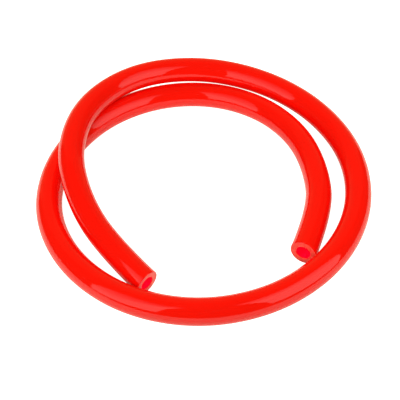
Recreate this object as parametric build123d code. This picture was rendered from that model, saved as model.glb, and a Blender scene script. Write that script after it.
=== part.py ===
"""Loose coil of red rubber tubing with plain square-cut ends, in millimetres, +Z up.

One length of tube lies about 1.8 turns round. It starts inside the ring on the right, runs along the
inside, passes under its own far stretch on the left, goes once round as the ring, lifting slowly off the
floor, climbs over itself on the left and comes down to end inside the ring again.
"""

import math
import os

from build123d import *

# Tube section: a round wall about a round bore
outer_diameter = 9.0
bore_diameter = 5.0

# Coil: radius of the tube's centre line where it goes round as the ring
coil_radius = 53.3

# Route: one corner every step round the coil, from the first angle on
first_angle = -45.0
step_angle = 26.0

# Each corner's inset from the ring and lift off the floor, as shares of the outer diameter
route_shares = [
    # Near end, inside the ring on the right
    (0.93, 0.00),
    (1.39, 0.00),
    (1.56, 0.00),
    # Along the inside of the ring, at the back
    (1.39, 0.00),
    (1.14, 0.00),
    (0.88, 0.00),
    (0.62, 0.00),
    # Under the far stretch, on the left
    (0.36, 0.00),
    (0.13, 0.00),
    # Ring leaving the floor: left and front
    (-0.04, 0.00),
    (-0.08, 0.08),
    (-0.13, 0.17),
    (-0.12, 0.18),
    (-0.09, 0.17),
    # Ring rising: right and back
    (-0.07, 0.15),
    (-0.04, 0.15),
    (0.03, 0.21),
    (0.14, 0.33),
    (0.15, 0.48),
    (0.03, 0.66),
    (-0.04, 0.88),
    # Over the crossing, with a corner on each side of it
    (0.25, 1.07),
    (0.78, 1.07),
    # Far end, coming down inside the ring at the front
    (1.26, 0.69),
    (1.40, 0.20),
    (0.85, 0.00),
]

# An arc takes this share of the shorter run at each corner
tangent_share = 0.45

# A corner stands out by this share, so that the middles of its two runs keep to the coil's circle
corner_share = 1 / math.cos(math.radians(step_angle / 2))


def route_corner(index):
    """Corner: coil radius less the inset, turned by whole steps, and half a tube plus the lift up."""
    inset_share, lift_share = route_shares[index]
    radius = coil_radius - inset_share * outer_diameter
    if 0 < index < len(route_shares) - 1:
        radius = radius * corner_share
    angle = math.radians(first_angle + index * step_angle)
    height = outer_diameter / 2 + lift_share * outer_diameter
    return Vector(radius * math.cos(angle), radius * math.sin(angle), height)


def bend_radius(before, after):
    """Arc radius between two runs: share of the shorter run over the tangent of half the turn."""
    half_turn = math.radians(before.get_angle(after)) / 2
    return tangent_share * min(before.length, after.length) / math.tan(half_turn)


# Centre line: straight runs joined by tangent arcs
corners = [route_corner(index) for index in range(len(route_shares))]
runs = [end - start for start, end in zip(corners, corners[1:])]
bend_radii = [bend_radius(before, after) for before, after in zip(runs, runs[1:])]
centre_line = FilletPolyline(*corners, radius=bend_radii)

# Tube: the ring-shaped section carried along the centre line, cut square at both ends
section = Circle(outer_diameter / 2) - Circle(bore_diameter / 2)
near_end = Plane(origin=corners[0], z_dir=runs[0])
tubing = sweep(near_end * section, path=centre_line)
tubing.label = "tubing"

print("bend radii", [round(radius, 1) for radius in bend_radii])
print("length", round(centre_line.length, 1))
print("volume", round(tubing.volume), "against", round(section.area * centre_line.length))
for name, corner, run, next_run in (
    ("near end", corners[0], -runs[0], runs[1]),
    ("far end", corners[-1], runs[-1], runs[-2]),
):
    straight = run.length - tangent_share * min(run.length, next_run.length)
    print(name, tuple(corner), "axis", tuple(run.normalized()), "straight", round(straight, 2))

os.makedirs("parts", exist_ok=True)
export_step(tubing, "parts/tubing.step")
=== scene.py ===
"""A length of glossy red vacuum tubing, lying in a loose coil on a white table."""
import math

import bpy
import numpy as np
from mathutils import Euler, Matrix


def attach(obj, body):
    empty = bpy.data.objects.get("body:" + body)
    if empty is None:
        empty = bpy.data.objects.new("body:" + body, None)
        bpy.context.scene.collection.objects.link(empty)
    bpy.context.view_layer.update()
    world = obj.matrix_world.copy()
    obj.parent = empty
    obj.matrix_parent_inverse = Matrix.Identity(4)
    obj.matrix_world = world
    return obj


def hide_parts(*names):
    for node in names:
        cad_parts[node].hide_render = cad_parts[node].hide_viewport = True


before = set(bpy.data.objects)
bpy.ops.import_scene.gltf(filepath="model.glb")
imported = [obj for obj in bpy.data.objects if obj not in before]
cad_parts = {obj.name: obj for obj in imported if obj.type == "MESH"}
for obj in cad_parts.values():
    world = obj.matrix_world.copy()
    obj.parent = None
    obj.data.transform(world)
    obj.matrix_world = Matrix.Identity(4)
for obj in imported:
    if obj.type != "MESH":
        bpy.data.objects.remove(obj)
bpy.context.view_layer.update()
scene = bpy.context.scene

# The tubing
# One length of red rubber tube, extruded with a smooth glossy skin and a round bore, and cut by hand at both
# ends, not quite square. Its own stiffness springs it open into a coil of one and three quarter turns, which
# crosses over itself on the left, and nothing else holds it.
MM = 0.001
OUTER_DIAMETER = 9.0 * MM
BORE_DIAMETER = 5.0 * MM
COIL_RADIUS = 53.3 * MM
FIRST_ANGLE = -45.0
STEP_ANGLE = 26.0
SPLINE_ORDER = 3
LINE_STEPS = 24

# Each point of the route: how far it lies in from the coil's circle and how high it is lifted, in diameters.
# It goes from the end inside the ring on the right, along the inside of the ring, once round as the ring,
# over itself on the left and down to the end inside the front of the ring.
ROUTE_SHARES = [
    (0.93, 0), (1.39, 0), (1.56, 0), (1.39, 0), (1.14, 0), (0.88, 0), (0.62, 0), (0.36, 0), (0.13, 0),
    (-0.04, 0), (-0.08, 0.08), (-0.13, 0.17), (-0.12, 0.18), (-0.09, 0.17), (-0.07, 0.15), (-0.04, 0.15),
    (0.03, 0.21), (0.14, 0.33), (0.15, 0.48), (0.03, 0.66), (-0.04, 0.88), (0.25, 1.07), (0.78, 1.07),
    (1.26, 0.69), (1.40, 0.20), (0.85, 0),
]


def route_points():
    """The route's corners: equal steps round the coil, each at the circle's radius less its inset.
    All but the two ends are pushed out by one over the cosine of half a step, so that the runs between
    them touch the circle. A corner's height is half a diameter plus its lift."""
    inset, lift = np.array(ROUTE_SHARES).T
    radius = COIL_RADIUS - inset * OUTER_DIAMETER
    radius[1:-1] /= math.cos(math.radians(STEP_ANGLE / 2))
    angle = np.radians(FIRST_ANGLE + STEP_ANGLE * np.arange(len(radius)))
    height = OUTER_DIAMETER * (0.5 + lift)
    return np.column_stack([radius * np.cos(angle), radius * np.sin(angle), height])


def smooth_line(corners):
    """The points of a NURBS spline that has these control points and ends on the outer two."""
    curve = bpy.data.curves.new("route", "CURVE")
    curve.dimensions = "3D"
    curve.resolution_u = LINE_STEPS
    spline = curve.splines.new("NURBS")
    spline.points.add(len(corners) - 1)
    spline.points.foreach_set("co", np.column_stack([corners, np.ones(len(corners))]).ravel())
    spline.order_u = SPLINE_ORDER
    spline.use_endpoint_u = True
    holder = bpy.data.objects.new("route", curve)
    mesh = bpy.data.meshes.new_from_object(holder)
    line = np.empty(3 * len(mesh.vertices))
    mesh.vertices.foreach_get("co", line)
    bpy.data.objects.remove(holder)
    bpy.data.curves.remove(curve)
    bpy.data.meshes.remove(mesh)
    return line.reshape(-1, 3)


# The wall is one closed surface: the outside, over the cut, back along the bore and over the other cut.
# A slant is how far a cut leans along the tube for each step across it and up it.
POINTS_AROUND = 64
BORE_ROWS = 200
RIM_RADIUS = 0.18 * MM
RIM_ROWS = 4
CUT_ROWS = 8
NEAR_SLANT = (-0.09, 0.11)
FAR_SLANT = (0.08, -0.03)
SLANT_REACH = 12.0 * MM
UP = np.array([0.0, 0.0, 1.0])
SKIN, CUT, BORE = range(3)


def unit(vectors):
    """Each vector divided by its length."""
    return vectors / np.linalg.norm(vectors, axis=1, keepdims=True)


def wall_profile(stations):
    """The wall's outline in a plane through the axis, as rows of (station, radius, surface) on a closed line.
    It runs along the outside, round the rim by a quarter circle, across the cut, round the bore's rim by
    another, back along the bore, and then over the near end in the same way."""
    end = stations[-1]
    outer, bore, rim = OUTER_DIAMETER / 2, BORE_DIAMETER / 2, RIM_RADIUS
    turn = np.linspace(0, math.pi / 2, RIM_ROWS, endpoint=False)
    inwards = np.linspace(outer - rim, bore + rim, CUT_ROWS, endpoint=False)
    outwards = np.linspace(bore + rim, outer - rim, CUT_ROWS, endpoint=False)
    outside = stations[(stations > 2 * rim) & (stations < end - 2 * rim)]
    inside = np.linspace(end - rim, rim, BORE_ROWS, endpoint=False)
    stretches = [
        (rim, outer, SKIN),
        (outside, outer, SKIN),
        (end - rim + rim * np.sin(turn), outer - rim + rim * np.cos(turn), SKIN),
        (end, inwards, CUT),
        (end - rim + rim * np.cos(turn), bore + rim - rim * np.sin(turn), CUT),
        (inside, bore, BORE),
        (rim - rim * np.sin(turn), bore + rim - rim * np.cos(turn), CUT),
        (0, outwards, CUT),
        (rim - rim * np.cos(turn), outer - rim + rim * np.sin(turn), SKIN),
    ]
    return np.vstack([np.column_stack(np.broadcast_arrays(*stretch)) for stretch in stretches])


def wall_mesh(line):
    """The profile carried along the line: centre plus radius times (cosine of the turn round the tube times
    the sideways direction, plus its sine times the upward one). Towards each end the points slide along the
    tube by that end's slant, times how far across and up they lie. The point attribute straight holds where
    each point would lie if the tube were straight: along, across and up, in millimetres."""
    steps = np.linalg.norm(np.diff(line, axis=0), axis=1)
    stations = np.concatenate([[0], np.cumsum(steps)])
    forward = unit(np.gradient(line, stations, axis=0))
    station, radius, surface = wall_profile(stations).T
    centre, ahead = [
        np.column_stack([np.interp(station, stations, values) for values in source.T])
        for source in (line, forward)
    ]
    sideways = unit(np.cross(ahead, UP))
    upwards = unit(np.cross(sideways, ahead))
    turn = np.linspace(0, 2 * math.pi, POINTS_AROUND, endpoint=False)
    across = radius[:, None] * np.cos(turn)
    up = radius[:, None] * np.sin(turn)
    near = np.clip(1 - station / SLANT_REACH, 0, 1)
    far = np.clip(1 - (stations[-1] - station) / SLANT_REACH, 0, 1)
    slant = np.outer(near, NEAR_SLANT) + np.outer(far, FAR_SLANT)
    slide = slant[:, :1] * across + slant[:, 1:] * up
    offsets = [(slide, ahead), (across, sideways), (up, upwards)]
    points = centre[:, None] + sum(length[..., None] * way[:, None] for length, way in offsets)
    straight = np.stack([station[:, None] + slide, across, up], axis=-1) / MM

    grid = np.arange(points.shape[0] * POINTS_AROUND).reshape(-1, POINTS_AROUND)
    next_row = np.roll(grid, -1, axis=0)
    corners = [grid, np.roll(grid, -1, axis=1), np.roll(next_row, -1, axis=1), next_row]
    mesh = bpy.data.meshes.new("tubing_wall")
    mesh.from_pydata(points.reshape(-1, 3), [], np.stack(corners, axis=-1).reshape(-1, 4))
    mesh.attributes.new("straight", "FLOAT_VECTOR", "POINT").data.foreach_set("vector", straight.ravel())
    mesh.polygons.foreach_set("material_index", np.repeat(surface.astype(int), POINTS_AROUND))
    mesh.polygons.foreach_set("use_smooth", np.ones(len(mesh.polygons), bool))
    mesh.update()
    return mesh


line = smooth_line(route_points())
tubing = bpy.data.objects.new("tubing_wall", wall_mesh(line))
scene.collection.objects.link(tubing)
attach(tubing, "root")
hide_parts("tubing")

# The die leaves faint lines along the rubber's gloss, and the red is a little uneven. The knife's cuts are
# paler, with a sheen, and the bore is crimson with a painted glow: an emission of its own that stands in for
# the light the wall lets through.
# Scales are features to the millimetre along, across and up the straightened tube.
SKIN_RED = (0.95, 0.0055, 0.0014, 1)
SKIN_DEEP_RED = (0.91, 0.0040, 0.0010, 1)
SKIN_ROUGHNESS = (0.03, 0.04)
SKIN_LINE_DEPTH = 0.004 * MM
CUT_RED = (0.88, 0.060, 0.020, 1)
CUT_DEEP_RED = (0.72, 0.038, 0.012, 1)
CUT_ROUGHNESS = (0.25, 0.35)
CUT_LINE_DEPTH = 0.1 * MM
BORE_RED = (0.96, 0.002, 0.035, 1)
BORE_DEEP_RED = (0.93, 0.0015, 0.025, 1)
BORE_ROUGHNESS = (0.25, 0.35)
BORE_LINE_DEPTH = 0.02 * MM
DIE_LINE_SCALE = (0.04, 1.5, 1.5)
KNIFE_LINE_SCALE = (0.0, 0.5, 4.0)
LINE_DETAIL = 3
LINE_STRENGTH = 0.3
LINE_SHARE = 0.5
PATCH_SCALE = (0.07, 0.12, 0.12)
PATCH_DETAIL = 2
RUBBER_IOR = 1.45
THROUGH_DEPTHS = (6.0 * MM, 0.3 * MM, 0.3 * MM)
THROUGH = {"Subsurface Weight": 1, "Subsurface Radius": THROUGH_DEPTHS, "Subsurface Scale": 1}
CUT_SHEEN = {"Sheen Weight": 0.15, "Sheen Roughness": 0.5}
# Painted glow: the bore gives off light of its own, standing in for light that comes through the wall.
BORE_PAINTED_GLOW = {"Emission Color": BORE_DEEP_RED, "Emission Strength": 0.35}


class Value:
    """One output of a node. Adding, taking away or multiplying it with a number or an output adds a Math
    node, whichever of the two comes first."""

    def __init__(self, finish, socket):
        self.finish = finish
        self.socket = socket

    def maths(self, operation, first, second):
        """The operation on the first value and the second."""
        return self.finish.node("ShaderNodeMath", {"operation": operation}, {0: first, 1: second})

    def __add__(self, other):
        return self.maths("ADD", self, other)

    def __radd__(self, other):
        return self.maths("ADD", other, self)

    def __sub__(self, other):
        return self.maths("SUBTRACT", self, other)

    def __rsub__(self, other):
        return self.maths("SUBTRACT", other, self)

    def __mul__(self, other):
        return self.maths("MULTIPLY", self, other)

    def __rmul__(self, other):
        return self.maths("MULTIPLY", other, self)


class Finish:
    """The nodes of a material or of the world, from none."""

    MIX_SHARE, MIX_FIRST, MIX_SECOND = 0, 6, 7
    MIX_COLOUR = 2

    def __init__(self, owner):
        owner.use_nodes = True
        self.owner = owner
        self.tree = owner.node_tree
        self.tree.nodes.clear()

    def node(self, kind, settings, sockets, output=0):
        """A node of that kind, with its settings, a ramp's stops among them, and then the values or links of
        its sockets. What comes back is its output of that name or place."""
        node = self.tree.nodes.new(kind)
        for name, setting in settings.items():
            if name == "stops":
                elements = node.color_ramp.elements
                while len(elements) < len(setting):
                    elements.new(1)
                for element, (position, level) in zip(elements, setting):
                    element.position = position
                    element.color = (level, level, level, 1)
            else:
                setattr(node, name, setting)
        for name, value in sockets.items():
            if isinstance(value, Value):
                self.tree.links.new(value.socket, node.inputs[name])
            else:
                node.inputs[name].default_value = value
        return Value(self, node.outputs[output]) if node.outputs else None

    def straight(self, scale):
        """The straightened tube's coordinates, each times its own scale."""
        place = self.node("ShaderNodeAttribute", {"attribute_name": "straight"}, {}, "Vector")
        return self.node("ShaderNodeVectorMath", {"operation": "MULTIPLY"}, {0: place, 1: scale})

    def noise(self, scale, detail):
        """Noise from 0 to 1 on the straightened tube."""
        sockets = {"Vector": self.straight(scale), "Scale": 1, "Detail": detail}
        return self.node("ShaderNodeTexNoise", {}, sockets)

    def mixed(self, share, first, second, blend="MIX"):
        """The first colour where the share is 0, and where it is 1 the second, or the two in that blend."""
        settings = {"data_type": "RGBA", "blend_type": blend}
        sockets = {self.MIX_SHARE: share, self.MIX_FIRST: first, self.MIX_SECOND: second}
        return self.node("ShaderNodeMix", settings, sockets, self.MIX_COLOUR)


def rubber(name, red, deep_red, line_scale, line_depth, roughness, more):
    """Rubber whose colour goes from the red to the deep red, by fine lines for their share and by soft
    patches for the rest. The lines stand proud by their depth, and with them the roughness goes from its
    first value to its second. The constants in more are set on the shader as they are."""
    finish = Finish(bpy.data.materials.new(name))
    lines = finish.noise(line_scale, LINE_DETAIL)
    patches = finish.noise(PATCH_SCALE, PATCH_DETAIL)
    smooth, rough = roughness
    ridges = {"Strength": LINE_STRENGTH, "Distance": line_depth, "Height": lines}
    sockets = {
        "Base Color": finish.mixed(LINE_SHARE * lines + (1 - LINE_SHARE) * patches, red, deep_red),
        "Roughness": smooth + (rough - smooth) * lines,
        "IOR": RUBBER_IOR,
        "Normal": finish.node("ShaderNodeBump", {}, ridges),
    }
    body = finish.node("ShaderNodeBsdfPrincipled", {}, sockets | more)
    finish.node("ShaderNodeOutputMaterial", {}, {"Surface": body})
    return finish.owner


skin = rubber("skin", SKIN_RED, SKIN_DEEP_RED, DIE_LINE_SCALE, SKIN_LINE_DEPTH, SKIN_ROUGHNESS, {})
cut = rubber(
    "cut", CUT_RED, CUT_DEEP_RED, KNIFE_LINE_SCALE, CUT_LINE_DEPTH, CUT_ROUGHNESS, THROUGH | CUT_SHEEN
)
bore = rubber(
    "bore", BORE_RED, BORE_DEEP_RED, DIE_LINE_SCALE, BORE_LINE_DEPTH, BORE_ROUGHNESS, THROUGH | BORE_PAINTED_GLOW
)
for material in (skin, cut, bore):
    tubing.data.materials.append(material)

# The table and the room
# A plain white table top that runs on to a white background, in a studio that is dim around the lamps, with a
# card standing behind the table. The camera sees both lit to white, and the tubing's gloss sees them as the
# lamps light them, a little lifted.
TABLE_HALF_SIDE = 1.5
TABLE_WHITE = (0.85, 0.83, 0.72, 1)
WHITE = (1, 1, 1, 1)
WARM_WHITE = (1.0, 0.93, 0.78, 1)
TABLE_GLOSS_LIFT = 0.38
ROOM_LEVEL = 0.08
ROOM_GLOSS_LIFT = 0.04
ROOM_COLOUR = (1.0, 0.8, 0.35, 1)
CARD_LEFT, CARD_RIGHT = -0.51, 0.38
CARD_BACK = 0.39
CARD_HEIGHT = 0.78
CARD_STRENGTH = 0.46
CARD_FADE = [(0.05, 1.0), (0.14, 0.8), (0.23, 0.67), (0.35, 0.55), (0.55, 0.45), (1.0, 0.38)]


def sheet(name, corners):
    """A flat four-sided piece of the studio through these corners, in turn."""
    mesh = bpy.data.meshes.new(name)
    mesh.from_pydata(corners, [], [(0, 1, 2, 3)])
    piece = bpy.data.objects.new(name, mesh)
    scene.collection.objects.link(piece)
    return piece


def ray(finish, kind):
    """1 for rays of that kind and 0 for the others."""
    return finish.node("ShaderNodeLightPath", {}, {}, f"Is {kind} Ray")


def glowing(panel, colour, strength, bottom, height, fade):
    """Lets a panel shine by its strength times its colour times its fade at that share of its height, in the
    gloss and on the tubing and not in the camera."""
    cloth = Finish(bpy.data.materials.new(panel.name))
    place = cloth.node("ShaderNodeTexCoord", {}, {}, "Object")
    rise = cloth.node("ShaderNodeSeparateXYZ", {}, {"Vector": place}, "Z")
    level = cloth.node("ShaderNodeValToRGB", {"stops": fade}, {"Fac": (rise - bottom) * (1 / height)})
    tinted = cloth.mixed(1, level, colour, "MULTIPLY")
    glow = cloth.node("ShaderNodeEmission", {}, {"Color": tinted, "Strength": strength})
    cloth.node("ShaderNodeOutputMaterial", {}, {"Surface": glow})
    panel.data.materials.append(cloth.owner)
    panel.visible_camera = False
    panel.visible_shadow = False


half = TABLE_HALF_SIDE
table = sheet("table", [(-half, -half, 0), (half, -half, 0), (half, half, 0), (-half, half, 0)])
paint = Finish(bpy.data.materials.new("table_white"))
matt = paint.node("ShaderNodeBsdfDiffuse", {}, {"Color": TABLE_WHITE})
gloss = ray(paint, "Glossy")
lift = ray(paint, "Camera") + ray(paint, "Transmission") + TABLE_GLOSS_LIFT * gloss
lift_colour = paint.mixed(gloss, WHITE, WARM_WHITE)
glow = paint.node("ShaderNodeEmission", {}, {"Color": lift_colour, "Strength": lift})
both = paint.node("ShaderNodeAddShader", {}, {0: matt, 1: glow})
paint.node("ShaderNodeOutputMaterial", {}, {"Surface": both})
table.data.materials.append(paint.owner)

scene.world = bpy.data.worlds.new("room")
room = Finish(scene.world)
seen = ray(room, "Camera") + ray(room, "Transmission")
room_tint = room.mixed(seen, ROOM_COLOUR, WHITE)
room_level = ROOM_LEVEL + (1 - ROOM_LEVEL) * seen + ROOM_GLOSS_LIFT * ray(room, "Glossy")
air = room.node("ShaderNodeBackground", {}, {"Color": room_tint, "Strength": room_level})
room.node("ShaderNodeOutputWorld", {}, {"Surface": air})

card = sheet("card", [
    (CARD_LEFT, CARD_BACK, 0),
    (CARD_RIGHT, CARD_BACK, 0),
    (CARD_RIGHT, CARD_BACK, CARD_HEIGHT),
    (CARD_LEFT, CARD_BACK, CARD_HEIGHT),
])
glowing(card, ROOM_COLOUR, CARD_STRENGTH, 0, CARD_HEIGHT, CARD_FADE)

# The lamps
# Two upright softboxes stand in front, left and right of the camera, and lean a little over the tubing.
# Four small lamps, by the camera, overhead, behind and on the left, fill the shade and are left out of the
# gloss.
BOX_BOTTOM = 44.0 * MM
BOX_HEIGHT = 551.0 * MM
BOX_TOP = BOX_BOTTOM + BOX_HEIGHT
BOX_FADE = [(0, 1.0), (0.27, 1.0), (0.43, 0.7), (0.73, 0.4), (1, 0.15)]
BOX_STRENGTH = 1.62
BOX_COLOUR = (1.0, 1.0, 0.9, 1)
# Each softbox's corners seen from above, in millimetres: two at its bottom and two at its top.
LEFT_BOX = [(-476, -215), (-68, -152), (-68, -147), (-250, 19)]
RIGHT_BOX = [(88, -147), (404, -107), (277, 128), (88, -147)]
# Each fill's place in metres, and its power in watts.
FILL_SIZE = 0.28
FILLS = {
    "camera_fill": (0.0, -0.50, 0.57, 2.0),
    "top_fill": (0.0, 0.02, 0.76, 0.8),
    "back_fill": (0.0, 0.62, 0.42, 2.2),
    "left_fill": (-0.70, -0.05, 0.30, 0.8),
}


def softbox(name, places):
    """An upright panel through these places at its bottom and its top, even below and fading to its top."""
    heights = [BOX_BOTTOM, BOX_BOTTOM, BOX_TOP, BOX_TOP]
    panel = sheet(name, np.column_stack([np.array(places) * MM, heights]))
    glowing(panel, BOX_COLOUR, BOX_STRENGTH, BOX_BOTTOM, BOX_HEIGHT, BOX_FADE)


softbox("left_softbox", LEFT_BOX)
softbox("right_softbox", RIGHT_BOX)

for name, (x, y, z, power) in FILLS.items():
    lamp = bpy.data.lights.new(name, "AREA")
    lamp.size = FILL_SIZE
    lamp.energy = power
    fill = bpy.data.objects.new(name, lamp)
    fill.location = (x, y, z)
    fill.rotation_euler = fill.location.to_track_quat("Z", "Y").to_euler()
    fill.visible_glossy = False
    scene.collection.objects.link(fill)

# The camera
# It stands in front of the coil with a long lens and looks down on it.
# Its picture is rolled a little.
LENS = 90
SENSOR_WIDTH = 36
CAMERA_PLACE = (-1.19 * MM, -232.13 * MM, 263.51 * MM)
LOOK_DOWN = 49.0
ROLL = -2.5

lens = bpy.data.cameras.new("camera")
lens.lens = LENS
lens.sensor_width = SENSOR_WIDTH
camera = bpy.data.objects.new("camera", lens)
camera.location = CAMERA_PLACE
tilt = Euler((math.radians(90 - LOOK_DOWN), 0, 0)).to_matrix()
camera.rotation_euler = (tilt @ Matrix.Rotation(math.radians(ROLL), 3, "Z")).to_euler()
scene.collection.objects.link(camera)
scene.camera = camera
scene.view_settings.view_transform = "Standard"
